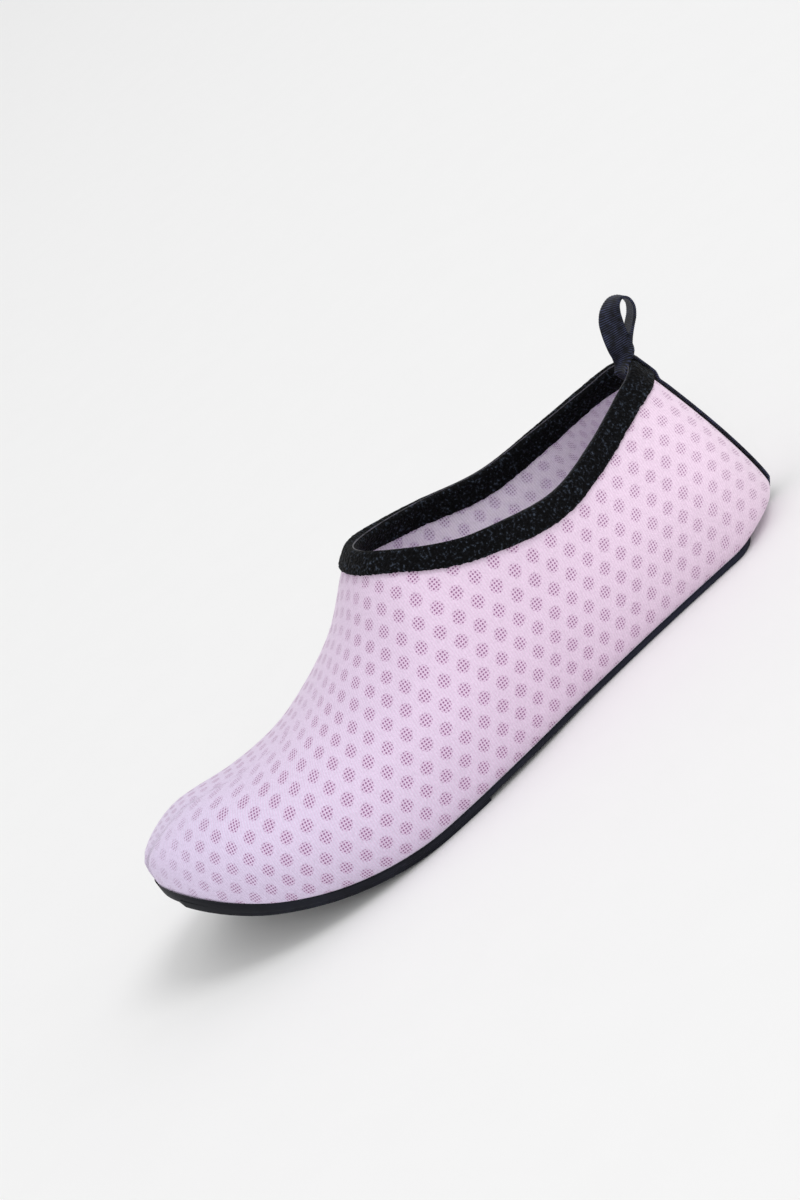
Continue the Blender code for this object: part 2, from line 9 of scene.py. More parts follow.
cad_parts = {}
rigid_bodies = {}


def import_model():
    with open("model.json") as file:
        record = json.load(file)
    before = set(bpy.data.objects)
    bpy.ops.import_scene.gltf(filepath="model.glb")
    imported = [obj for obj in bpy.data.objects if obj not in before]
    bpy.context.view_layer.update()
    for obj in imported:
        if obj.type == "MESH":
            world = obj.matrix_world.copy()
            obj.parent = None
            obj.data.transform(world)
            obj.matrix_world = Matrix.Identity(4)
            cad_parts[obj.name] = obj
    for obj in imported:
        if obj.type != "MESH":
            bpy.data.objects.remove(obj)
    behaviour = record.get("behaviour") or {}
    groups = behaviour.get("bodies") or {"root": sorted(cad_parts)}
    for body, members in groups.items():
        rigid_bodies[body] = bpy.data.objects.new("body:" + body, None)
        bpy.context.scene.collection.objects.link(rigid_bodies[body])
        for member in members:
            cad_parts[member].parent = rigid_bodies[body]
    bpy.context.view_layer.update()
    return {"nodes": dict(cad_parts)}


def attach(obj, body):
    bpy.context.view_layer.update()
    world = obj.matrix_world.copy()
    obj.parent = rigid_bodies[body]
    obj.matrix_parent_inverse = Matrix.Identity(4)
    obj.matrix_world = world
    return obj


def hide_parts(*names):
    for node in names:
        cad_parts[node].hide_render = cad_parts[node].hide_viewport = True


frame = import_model()
nodes = frame["nodes"]
for thing in bpy.data.objects:
    thing.select_set(False)
print("frame loaded:", sorted(nodes))

mm = 0.001

# The last, in millimetres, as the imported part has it
last = {
    "length": 244.0, "ball": 92.0, "heel": 64.0, "waist": 68.0,
    "instep": 80.0, "heelTop": 68.0, "sideTop": 63.5, "outerDip": 2.5,
    "spring": 25.0, "springStart": 165.0, "archRise": 2.5, "archCentre": 105.0, "archReach": 45.0,
    "toeSwing": 9.0, "swingStart": 110.0, "heelRound": 32.0, "outerToeRound": 66.0, "innerToeRound": 48.0,
    "collarBack": 15.0, "collarFront": 127.0, "collarHeelRound": 9.0, "collarFrontRound": 42.0,
    "collarWidth": 57.0, "widest": 9.5, "heelDrop": 2.4, "toeRise": -6.9, "heelStraight": 0.65,
    "sideTuck": 4.2, "toeTuck": -0.3, "heelTuck": 16.5, "lip": 5.0, "base": 2.0, "tread": 1.3,
    "heelFlatEnd": 80.0, "riseEnd": 142.0, "treadStart": 148.0, "treadEnd": 240.8, "toeDome": 25.0,
    "wall": 1.6, "gap": 0.3, "toeCut": 2.2, "tipLift": 4.2, "tipReach": 24.0, "standAt": (2.518, -0.574, 0.0),
}

heelWide, ballWide, waistWide = last["heel"], last["ball"], last["waist"]
instepHigh, heelHigh, sideHigh = last["instep"], last["heelTop"], last["sideTop"]
collarWide = last["collarWidth"]
# share of the length from the heel, half width on the outer side, half width on the inner side
widthRows = [(0.00, 0.50 * heelWide, 0.50 * heelWide), (0.15, 0.50 * heelWide, 0.50 * heelWide),
             (0.40, 0.53 * waistWide, 0.455 * waistWide), (0.55, 0.465 * ballWide, 0.43 * ballWide),
             (0.69, 0.50 * ballWide, 0.50 * ballWide), (0.82, 0.485 * ballWide, 0.495 * ballWide),
             (1.00, 0.43 * ballWide, 0.45 * ballWide)]
# share of the length, height of the vamp's ridge
ridgeRows = [(0.30, 1.60 * instepHigh), (0.42, 1.20 * instepHigh), (0.525, 1.00 * instepHigh),
             (0.60, 0.775 * instepHigh), (0.70, 0.60 * instepHigh), (0.80, 0.505 * instepHigh),
             (0.90, 0.44 * instepHigh), (1.00, 0.28 * instepHigh)]
# share of the collar from its back, height of the topline
topRows = [(0.00, heelHigh), (0.12, 0.60 * heelHigh + 0.40 * sideHigh), (0.30, sideHigh), (0.48, 0.985 * sideHigh),
           (0.70, 0.68 * sideHigh + 0.32 * instepHigh), (0.88, 0.30 * sideHigh + 0.70 * instepHigh),
           (1.00, instepHigh)]
# share of the collar, its half width on the outer side and on the inner side
collarRows = [(0.00, 0.17 * collarWide, 0.17 * collarWide), (0.08, 0.20 * collarWide, 0.20 * collarWide),
              (0.18, 0.29 * collarWide, 0.29 * collarWide), (0.30, 0.39 * collarWide, 0.39 * collarWide),
              (0.45, 0.48 * collarWide, 0.475 * collarWide), (0.60, 0.52 * collarWide, 0.50 * collarWide),
              (0.80, 0.53 * collarWide, 0.49 * collarWide), (1.00, 0.51 * collarWide, 0.46 * collarWide)]
# share of the way round from heel to toe, share of the collar that its rib meets
spreadRows = [(0.00, 0.00), (0.05, 0.012), (0.10, 0.045), (0.16, 0.12), (0.25, 0.29), (0.40, 0.585),
              (0.55, 0.80), (0.70, 0.915), (0.85, 0.975), (1.00, 1.00)]


def smoothRow(rows, at, column=1):
    x = np.array([row[0] for row in rows])
    y = np.array([row[column] for row in rows])
    slope = np.gradient(y, x)
    at = np.clip(at, x[0], x[-1])
    k = np.clip(np.searchsorted(x, at, side="right") - 1, 0, len(x) - 2)
    step = x[k + 1] - x[k]
    f = (at - x[k]) / step
    return ((2 * f**3 - 3 * f**2 + 1) * y[k] + (f**3 - 2 * f**2 + f) * step * slope[k]
            + (3 * f**2 - 2 * f**3) * y[k + 1] + (f**3 - f**2) * step * slope[k + 1])


def ease(f):
    f = np.clip(f, 0, 1)
    return f * f * (3 - 2 * f)


def toToe(share):
    return (1 - share) * last["length"] - last["toeCut"]


def halfWidth(share, outer):
    full = smoothRow(widthRows, share, 1) if outer else smoothRow(widthRows, share, 2)
    toeRound = last["outerToeRound"] if outer else last["innerToeRound"]
    heel = np.clip(1 - share * last["length"] / last["heelRound"], 0, 1)
    toe = np.clip(1 - toToe(share) / toeRound, 0, 1)
    return full * np.sqrt(1 - heel**2.05) * np.sqrt(1 - toe**2.3)


def swingIn(share):
    start = last["swingStart"] / last["length"]
    return -last["toeSwing"] * np.clip((share - start) / (1 - start), 0, 1) ** 2


def floorHeight(x, y):
    share = 0.5 - y / last["length"]
    along = share * last["length"]
    rise = last["tread"] * ease((along - last["heelFlatEnd"]) / (last["riseEnd"] - last["heelFlatEnd"]))
    start = last["springStart"] / last["length"]
    spring = last["spring"] * np.clip((share - start) / (1 - start), 0, 1) ** 2
    spring = spring + last["tipLift"] * np.clip(1 - (last["length"] - along) / last["tipReach"], 0, 1) ** 2
    bump = ease(1 - np.abs(along - last["archCentre"]) / last["archReach"])
    return rise + spring + last["archRise"] * bump * ease(0.5 - (x - swingIn(share)) / last["waist"])


def levelAt(x, y, height):
    slope = floorHeight(x, y + 0.5) - floorHeight(x, y - 0.5)
    return floorHeight(x, y) + height * np.sqrt(1 + slope**2)


def denseSide(outer):
    share = (1 - np.cos(np.linspace(0, np.pi, 600))) / 2 * (1 - last["toeCut"] / last["length"])
    x = halfWidth(share, outer) * (1 if outer else -1) + swingIn(share)
    y = (0.5 - share) * last["length"]
    run = np.concatenate([[0], np.cumsum(np.hypot(np.diff(x), np.diff(y)))])
    return x, y, run / run[-1]


outerSide = denseSide(True)
innerSide = denseSide(False)


def outline(u):
    u = np.asarray(u) % 1.0
    out = u <= 0.5
    run = np.where(out, 2 * u, 2 - 2 * u)
    places = []
    for axis in range(2):
        outer = np.interp(run, outerSide[2], outerSide[axis])
        inner = np.interp(run, innerSide[2], innerSide[axis])
        places.append(np.where(out, outer, inner))
    return np.stack(places, -1)


def outlineNormal(u):
    along = outline(u + 0.004) - outline(u - 0.004)
    along /= np.linalg.norm(along, axis=-1, keepdims=True)
    return np.stack([-along[..., 1], along[..., 0]], -1)


def collarEdge(u):
    u = np.asarray(u) % 1.0
    out = u <= 0.5
    share = smoothRow(spreadRows, np.where(out, 2 * u, 2 - 2 * u))
    reach = last["collarFront"] - last["collarBack"]
    heel = np.clip(1 - share * reach / last["collarHeelRound"], 0, 1)
    front = np.clip(1 - (1 - share) * reach / last["collarFrontRound"], 0, 1)
    full = np.where(out, smoothRow(collarRows, share, 1), smoothRow(collarRows, share, 2))
    half = full * np.sqrt(1 - heel**2) * np.sqrt(1 - front**2.4)
    along = (last["collarBack"] + share * reach) / last["length"]
    x = np.where(out, half, -half) + swingIn(along)
    dip = ease(share / 0.6) * ease((1 - share) / 0.25)
    z = smoothRow(topRows, share) - np.where(out, last["outerDip"], 0) * dip
    return np.stack([x, (0.5 - along) * last["length"], z], -1)


def standAt(share):
    atHeel = ease(1 - share * last["length"] / last["heelRound"])
    return last["widest"] - last["heelDrop"] * atHeel + last["toeRise"] * ease((share - 0.78) / 0.22)


def ridgeHeight(share):
    toe = np.clip(1 - toToe(share) / last["toeDome"], 0, 1)
    return last["widest"] + (smoothRow(ridgeRows, share) - last["widest"]) * np.sqrt(1 - toe**2.2)


def tuckIn(share):
    heel = ease(np.clip(1 - share * last["length"] / last["heelRound"], 0, 1))
    toe = ease((share - 0.74) / 0.25)
    side = last["sideTuck"]
    return side + (last["heelTuck"] - side) * heel + (last["toeTuck"] - side) * toe


def soleRing(u, out, height):
    ring = outline(u)
    share = 0.5 - ring[:, 1] / last["length"]
    ring = ring - outlineNormal(u) * (tuckIn(share) - out)[:, None]
    return np.column_stack([ring, levelAt(ring[:, 0], ring[:, 1], height)])


wallSteps = 139
tuckSteps = 24


def ribCurves(u):
    u = np.atleast_1d(np.asarray(u, float))
    low = outline(u)
    lowShare = 0.5 - low[:, 1] / last["length"]
    top = collarEdge(u)
    atHeel = ease(1 - lowShare * last["length"] / last["heelRound"])
    stand = standAt(lowShare)
    wide = levelAt(low[:, 0], low[:, 1], stand)
    f = 1 - np.cos(np.linspace(0, np.pi / 2, wallSteps + 1))
    plan = low[:, None, :] + (top[:, None, :2] - low[:, None, :]) * f[None, :, None]
    share = 0.5 - plan[..., 1] / last["length"]
    # the quarters and the heel rise steeply and lean in to the collar
    bow = 1 / (2 - last["heelStraight"] * atHeel)
    quarter = wide[:, None] + (top[:, 2] - wide)[:, None] * f[None, :] ** bow[:, None]
    # the vamp is a dome under the ridge
    off = plan[..., 0] - swingIn(share)
    half = np.where(off >= 0, halfWidth(share, True), halfWidth(share, False))
    across = np.clip(np.abs(off) / np.maximum(half, 0.1), 0, 1)
    standHere = standAt(share)
    under = levelAt(plan[..., 0], plan[..., 1], standHere)
    dome = under + (ridgeHeight(share) - standHere) * np.sqrt(1 - across**2.2)
    dome += (top[:, 2] - dome[:, -1])[:, None] * f[None, :] ** 3
    forward = np.where(u % 1.0 <= 0.5, u % 1.0, 1 - u % 1.0) * 2
    mix = ease((forward - 0.45) / 0.27)[:, None]
    upper = np.dstack([plan, quarter * (1 - mix) + dome * mix])[:, ::-1]
    # the tuck under the foot and the lip on the sole
    angle = np.linspace(0, np.pi / 2, tuckSteps + 1)[1:]
    reach = tuckIn(lowShare)[:, None] * (1 - np.cos(angle))[None, :]
    normal = outlineNormal(u)
    underPlan = low[:, None, :] - normal[:, None, :] * reach[..., None]
    drop = (stand - last["base"] - last["gap"])[:, None] * np.sin(angle)[None, :]
    underZ = levelAt(underPlan[..., 0], underPlan[..., 1], stand[:, None] - drop)
    run = np.linspace(0, last["lip"], 6)[1:]
    lipPlan = underPlan[:, -1:, :] - normal[:, None, :] * run[None, :, None]
    lipZ = levelAt(lipPlan[..., 0], lipPlan[..., 1], last["base"] + last["gap"])
    curve = np.concatenate([upper, np.dstack([underPlan, underZ]), np.dstack([lipPlan, lipZ])], axis=1)
    steps = np.linalg.norm(np.diff(curve, axis=1), axis=2)
    return curve, np.concatenate([np.zeros((len(u), 1)), np.cumsum(steps, axis=1)], axis=1)


def readRibs(u, down):
    curve, run = ribCurves(u)
    points = np.empty(down.shape + (3,))
    for k in range(len(curve)):
        for axis in range(3):
            points[k, :, axis] = np.interp(down[k], run[k], curve[k, :, axis])
    return points


def surfaceAt(u, down):
    points = readRibs(u, down)
    around = readRibs(u + 0.0015, down) - readRibs(u - 0.0015, down)
    along = readRibs(u, down + 0.9) - readRibs(u, down - 0.9)
    normals = np.cross(around, along)
    normals /= np.maximum(np.linalg.norm(normals, axis=-1, keepdims=True), 1e-9)
    return points, normals


def rowsAt(shares, start, end):
    return start[:, None] + (end - start)[:, None] * np.asarray(shares)[None, :]


def toWorld(points):
    return (np.asarray(points) + np.array(last["standAt"])) * mm


def newPiece(name, points, faces, material):
    mesh = bpy.data.meshes.new(name)
    mesh.from_pydata([tuple(p) for p in points], [], faces)
    mesh.materials.append(material)
    piece = bpy.data.objects.new(name, mesh)
    bpy.context.scene.collection.objects.link(piece)
    return piece


def faceOutward(mesh, fillEnds=False):
    work = bmesh.new()
    work.from_mesh(mesh)
    if fillEnds:
        bmesh.ops.holes_fill(work, edges=work.edges)
    bmesh.ops.recalc_face_normals(work, faces=work.faces)
    if work.calc_volume(signed=True) < 0:
        bmesh.ops.reverse_faces(work, faces=work.faces)
    work.to_mesh(mesh)
    work.free()


# Makes one mesh of a grid of points: rings run along the second axis, each ring is closed or open
def gridPiece(name, grid, material, closedAround=True, closedAlong=False, sheet=None, ends=False):
    around, along = grid.shape[:2]
    points = toWorld(grid.reshape(-1, 3))
    faces = []
    corners = []
    for a in range(around if closedAround else around - 1):
        for k in range(along if closedAlong else along - 1):
            a2 = (a + 1) % around
            k2 = (k + 1) % along
            faces.append((a * along + k, a2 * along + k, a2 * along + k2, a * along + k2))
            corners.append(((a, k), (a + 1, k), (a + 1, k + 1), (a, k + 1)))
    piece = newPiece(name, points, faces, material)
    mesh = piece.data
    if sheet is not None:
        layer = mesh.uv_layers.new(name="sheet")
        values = np.array([sheet[a % around, k % sheet.shape[1]] for face in corners for a, k in face])
        layer.data.foreach_set("uv", values.reshape(-1).astype(np.float32))
    faceOutward(mesh, ends)
    mesh.shade_smooth()
    return piece


# Rings of a thin tube round a path
def tubeRound(middle, side, up, radius):
    angle = np.arange(8) / 8 * 2 * np.pi
    turn = side[:, None, :] * np.cos(angle)[None, :, None] + up[..., None, :] * np.sin(angle)[None, :, None]
    return middle[:, None, :] + radius * turn


def settle(piece, slotName, *cadNodes):
    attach(piece, "root")
    if cadNodes:
        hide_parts(*cadNodes)


# sRGB hex to linear
def toLinear(code):
    values = [int(code[k:k + 2], 16) / 255 for k in (1, 3, 5)]
    return tuple(v / 12.92 if v <= 0.04045 else ((v + 0.055) / 1.055) ** 2.4 for v in values) + (1.0,)


def newMaterial(name, **sockets):
    material = bpy.data.materials.new(name)
    material.use_nodes = True
    shader = material.node_tree.nodes["Principled BSDF"]
    for key, value in sockets.items():
        shader.inputs[key.replace("_", " ")].default_value = value
    return material, shader


# Adds one node with its settings, where i1 is input 1; links is input name or number to (node, output)
def addNode(material, kind, links=None, **settings):
    tree = material.node_tree
    node = tree.nodes.new("ShaderNode" + kind)
    for key, value in settings.items():
        if hasattr(node, key):
            setattr(node, key, value)
        else:
            name = int(key[1:]) if key[0] == "i" and key[1:].isdigit() else key.replace("_", " ")
            node.inputs[name].default_value = value
    for key, source in (links or {}).items():
        tree.links.new(source[0].outputs[source[1]], node.inputs[key])
    return node


# Adds a colour ramp on a value; each stop is a place and a hex colour or a grey
def addRamp(material, source, *stops):
    node = addNode(material, "ValToRGB", {0: source})
    elements = node.color_ramp.elements
    for at, _ in stops[1:-1]:
        elements.new(at)
    for element, (at, colour) in zip(elements, stops):
        element.position = at
        element.color = toLinear(colour) if isinstance(colour, str) else (colour, colour, colour, 1.0)
    return node, 0


# Gives the shader its colour and, where there is a height, a bump
def dress(material, shader, colour, height=None, strength=0.0, distance=0.0, invert=False):
    links = material.node_tree.links
    links.new(colour[0].outputs[colour[1]], shader.inputs["Base Color"])
    if height:
        bump = addNode(material, "Bump", {"Height": height}, Strength=strength, Distance=distance)
        bump.invert = invert
        links.new(bump.outputs[0], shader.inputs["Normal"])


# Knit: thin elastic polyester mesh, matt, warp-knitted with clusters of eyelets that show as mauve dots
knitLook = {
    "outer": "#E6D2E7", "toe": "#DCD2EC", "heel": "#F2DCEE", "eyelet": "#8C5083", "dotShade": "#DDB6D8",
    "lining": "#EFE6F4", "liningEyelet": "#A488A8", "liningShade": "#CDBCD4",
    "pitch": 7.6, "row": 5.95, "dot": 2.15, "holePitch": 1.0, "holeRadius": 0.27,
}


def knitMaterial(name, base, toe, heel, dotShade, eyelet, through=0.0):
    look = knitLook
    knit, shader = newMaterial(name, Roughness=0.82, Sheen_Weight=0.35, Sheen_Roughness=0.45,
                               Specular_IOR_Level=0.25, Subsurface_Weight=through, Subsurface_Scale=0.004,
                               Subsurface_Radius=(0.95, 0.9, 1.0))
    place = addNode(knit, "TexCoord")
    split = addNode(knit, "SeparateXYZ", {0: (place, "UV")})

    def math2(kind, a, b=None, clamp=False):
        node = addNode(knit, "Math", operation=kind, use_clamp=clamp)
        for k, value in enumerate((a, b)):
            if value is None:
                continue
            if isinstance(value, tuple):
                knit.node_tree.links.new(value[0].outputs[value[1]], node.inputs[k])
            else:
                node.inputs[k].default_value = value
        return node, 0

    # the row a point is in, and how far it lies from the nearest eyelet cluster, in millimetres
    row = math2("ROUND", (split, 1))
    half = math2("MULTIPLY", row, 0.5)
    along = math2("SUBTRACT", (split, 0), half)
    cell = math2("ROUND", along)
    du = math2("MULTIPLY", math2("SUBTRACT", along, cell), look["pitch"])
    dv = math2("MULTIPLY", math2("SUBTRACT", (split, 1), row), look["row"])
    wobble = addNode(knit, "TexNoise", {0: (place, "Object")}, Scale=900.0, Detail=1.0)
    far = math2("SQRT", math2("ADD", math2("MULTIPLY", du, du), math2("MULTIPLY", dv, dv)))
    far = math2("ADD", far, math2("MULTIPLY", math2("SUBTRACT", (wobble, 0), 0.5), 0.5))
    inDot = addNode(knit, "MapRange", {0: far}, interpolation_type="SMOOTHSTEP",
                    i1=look["dot"] + 0.25, i2=look["dot"] - 0.35)
    # eyelets on a diagonal grid inside each cluster
    holeAlong = math2("DIVIDE", du, look["holePitch"])
    holeAcross = math2("DIVIDE", dv, look["holePitch"])
    offAlong = math2("SUBTRACT", holeAlong, math2("ROUND", holeAlong))
    offAcross = math2("SUBTRACT", holeAcross, math2("ROUND", holeAcross))
    near = math2("ADD", math2("MULTIPLY", offAlong, offAlong), math2("MULTIPLY", offAcross, offAcross))
    near = math2("SQRT", near)
    holeShare = look["holeRadius"] / look["holePitch"]
    hole = addNode(knit, "MapRange", {0: near}, interpolation_type="SMOOTHSTEP",
                   i1=holeShare + 0.14, i2=holeShare - 0.10)
    body = addNode(knit, "SeparateXYZ", {0: (place, "Object")})
    # the clusters are plainest in the middle of the side and pale at the toe and the heel
    fromToe = addNode(knit, "MapRange", {0: (body, 1)}, i1=-0.12, i2=0.12)
    fade = addRamp(knit, (fromToe, 0), (0.0, 0.45), (0.11, 1.0), (0.62, 0.9), (0.95, 0.5))
    # painted highlight: the clusters also fade towards the vamp's ridge, where light falls on the top
    ridge = math2("MULTIPLY", math2("ABSOLUTE", (body, 0)), 1000.0)
    side = addNode(knit, "MapRange", {0: ridge}, i1=2.0, i2=15.0, i3=0.45, i4=1.0)
    pale = math2("MULTIPLY", fade, (side, 0))
    strong = math2("MULTIPLY", (inDot, 0), math2("MULTIPLY", pale, pale))
    eyes = math2("MULTIPLY", math2("MULTIPLY", (hole, 0), (inDot, 0)), math2("SQRT", pale))
    # slanting wales of the knit, 0.75 mm apart
    wale = addNode(knit, "TexWave", {0: (place, "UV")}, wave_type="BANDS", bands_direction="X",
                   wave_profile="SIN", Scale=2.6, Distortion=1.2, Detail=2.0, Detail_Scale=4.0)
    toHeel = addNode(knit, "MapRange", {0: (body, 1)}, i1=-0.10, i2=0.11)
    cloud = addNode(knit, "TexNoise", {0: (place, "Object")}, Scale=22.0, Detail=3.0)
    ground = addRamp(knit, (toHeel, 0), (0.0, toe), (0.5, base), (1.0, heel))

    def mix(fac, first, second):
        node = addNode(knit, "Mix", data_type="RGBA", blend_type="MIX")
        for key, value in ((0, fac), (6, first), (7, second)):
            if isinstance(value, tuple) and hasattr(value[0], "outputs"):
                knit.node_tree.links.new(value[0].outputs[value[1]], node.inputs[key])
            else:
                node.inputs[key].default_value = value
        return node, 2

    waleTone = addNode(knit, "MapRange", {0: (wale, 1)}, i3=0.0, i4=0.38)
    colour = mix((waleTone, 0), ground, toLinear(dotShade))
    colour = mix(math2("MULTIPLY", strong, 0.30), colour, toLinear(dotShade))
    colour = mix(math2("MULTIPLY", eyes, 0.95), colour, toLinear(eyelet))
    stitches = addNode(knit, "TexNoise", {0: (place, "Object")}, Scale=1500.0, Detail=2.0)
    tone = math2("MULTIPLY", math2("SUBTRACT", (cloud, 0), 0.5), 0.10)
    tone = math2("ADD", tone, math2("MULTIPLY", math2("SUBTRACT", (stitches, 0), 0.5), 0.32))
    # painted shade: the cloth is darker towards the sole
    soleShade = addNode(knit, "MapRange", {0: (body, 2)}, i1=0.004, i2=0.034, i3=-0.14, i4=0.0)
    tone = math2("ADD", tone, (soleShade, 0))
    bright = addNode(knit, "HueSaturation", {"Color": colour, "Value": math2("ADD", tone, 1.0)})
    relief = math2("SUBTRACT", math2("MULTIPLY", (wale, 1), 0.35), math2("MULTIPLY", eyes, 1.0))
    relief = math2("SUBTRACT", relief, math2("MULTIPLY", (inDot, 0), 0.35))
    dress(knit, shader, (bright, 0), relief, 0.5, 0.00035)
    return knit


# Where a place on the outer half lies on the cloth, in cluster pitches along the rows and in rows across them
def outerSheet(off, y, z):
    x = (np.sqrt(off**2 + 25) - 5 * np.exp(-off / 5)) / 40
    y = y / 100
    z = (z - 30) / 30
    along = (-6.23 + 0.25 * z + 0.21 * z**2 + 14.76 * y - 0.79 * y * z + 0.31 * y**2
             + 3.82 * x - 0.55 * x * z - 1.68 * x * y - 1.05 * x**2)
    rows = (5.71 + 4.97 * z - 0.44 * z**2 + 1.34 * y + 0.03 * y * z - 1.10 * y**2
            - 6.22 * x - 0.20 * x * z - 1.02 * x * y + 1.90 * x**2)
    # round the back of the heel the cloth turns with the wall
    back = ease((y - 0.70) / 0.40) * np.maximum(22 - off, 0) ** 2
    return np.stack([along + 0.0040 * back, rows - 0.0042 * back], -1)


# The cloth runs over the vamp's ridge without a break and meets itself under the heel tape
def sheetPlace(points):
    y = points[..., 1]
    share = 0.5 - y / last["length"]
    off = points[..., 0] - swingIn(share)
    outer = off > 2.0 * ease((y - 60) / 30)
    crest = np.minimum(ridgeHeight(share), last["instep"])
    place = outerSheet(np.where(outer, off, np.maximum(-off, -4)), y, points[..., 2])
    middle = outerSheet(np.zeros_like(off), np.minimum(y, 110), crest)
    return np.where(outer[..., None], place, 2 * middle - place)


def around(count):
    return np.arange(count) / count


# Upper: one knit wall from inside the binding down round the foot to its lip on the sole
upperForm = {"ribs": 320, "outerRows": 46, "innerRows": 30, "tuckRows": 9, "lipRows": 3}


def buildUpper():
    form = upperForm
    u = around(form["ribs"])
    run = ribCurves(u)[1]
    start = np.full(len(u), 1.4)
    widest, edge, end = run[:, wallSteps], run[:, wallSteps + tuckSteps], run[:, -1]
    outerDown = np.concatenate([
        rowsAt(np.linspace(0, 1, form["outerRows"]), start, widest),
        rowsAt(np.linspace(0, 1, form["tuckRows"])[1:], widest, edge),
        rowsAt(np.linspace(0, 1, form["lipRows"])[1:], edge, end)], axis=1)
    innerDown = np.concatenate([
        rowsAt(np.linspace(0, 1, form["innerRows"]), start, widest),
        rowsAt(np.linspace(0, 1, 6)[1:], widest, edge),
        rowsAt([1.0], edge, end)], axis=1)[:, ::-1]
    outer, outerNormal = surfaceAt(u, outerDown)
    inner, innerNormal = surfaceAt(u, innerDown)
    outer = outer + outerNormal * creaseHeight(outer)[..., None]
    sheet = np.concatenate([sheetPlace(outer), sheetPlace(inner)], axis=1)
    grid = np.concatenate([outer, inner - innerNormal * last["wall"]], axis=1)
    knit = knitMaterial("polyester mesh knit", knitLook["outer"], knitLook["toe"], knitLook["heel"],
                        knitLook["dotShade"], knitLook["eyelet"])
    lining = knitMaterial("mesh knit inside", knitLook["lining"], knitLook["lining"], knitLook["lining"],
                          knitLook["liningShade"], knitLook["liningEyelet"], 0.8)
    upper = gridPiece("upperKnit", grid, knit, closedAlong=True, sheet=sheet)
    upper.data.materials.append(lining)
    outerCount = outer.shape[1]
    along = grid.shape[1]
    for face in upper.data.polygons:
        face.material_index = 1 if (face.vertices[0] % along) >= outerCount else 0
    settle(upper, "knit", "upper")
    return upper


# Soft dents where the empty upper gives, each at a share along and a height, with its reach and its depth
creases = [
    {"along": 0.56, "height": 46.0, "reach": (9.0, 16.0), "depth": 0.5},
    {"along": 0.70, "height": 30.0, "reach": (14.0, 10.0), "depth": 0.45},
    {"along": 0.30, "height": 30.0, "reach": (22.0, 12.0), "depth": 0.6},
    {"along": 0.10, "height": 30.0, "reach": (12.0, 14.0), "depth": -0.25},
]


def creaseHeight(points):
    total = np.zeros(points.shape[:-1])
    for dent in creases:
        y = (0.5 - dent["along"]) * last["length"]
        far = ((points[..., 1] - y) / dent["reach"][0]) ** 2
        far = far + ((points[..., 2] - dent["height"]) / dent["reach"][1]) ** 2
        total -= dent["depth"] * np.exp(-far)
    return total


buildUpper()
print("upper done")

# Binding: brushed nylon-elastane knit, black, folded over the collar's edge
bindingForm = {"ribs": 520, "height": 8.9, "frontHeight": 7.9, "thick": 1.15, "bump": 0.16, "edgeBump": 0.35}


def bumpAt(points, size, seed):
    values = np.empty(points.shape[:-1])
    for index in np.ndindex(values.shape):
        place = Vector(points[index]) / size + Vector((seed, 0, 0))
        values[index] = noise.noise(place) + 0.5 * noise.noise(place * 2.1)
    return values


def napMaterial():
    nap, shader = newMaterial("brushed binding knit", Roughness=0.9, Sheen_Weight=0.03, Sheen_Roughness=0.4,
                              Specular_IOR_Level=0.12)
    place = addNode(nap, "TexCoord")
    tufts = addNode(nap, "TexVoronoi", {0: (place, "Object")}, feature="SMOOTH_F1", Scale=1050.0, Smoothness=0.6)
    crumb = addNode(nap, "TexNoise", {0: (place, "Object")}, Scale=1000.0, Detail=3.0, Roughness=0.6)
    colour = addRamp(nap, (crumb, 0), (0.42, "#000001"), (0.56, "#07080C"), (0.76, "#454E5C"))
    height = addNode(nap, "Math", {0: (tufts, 0), 1: (crumb, 0)}, operation="SUBTRACT")
    dress(nap, shader, colour, (height, 0), 0.9, 0.0006, True)
    return nap


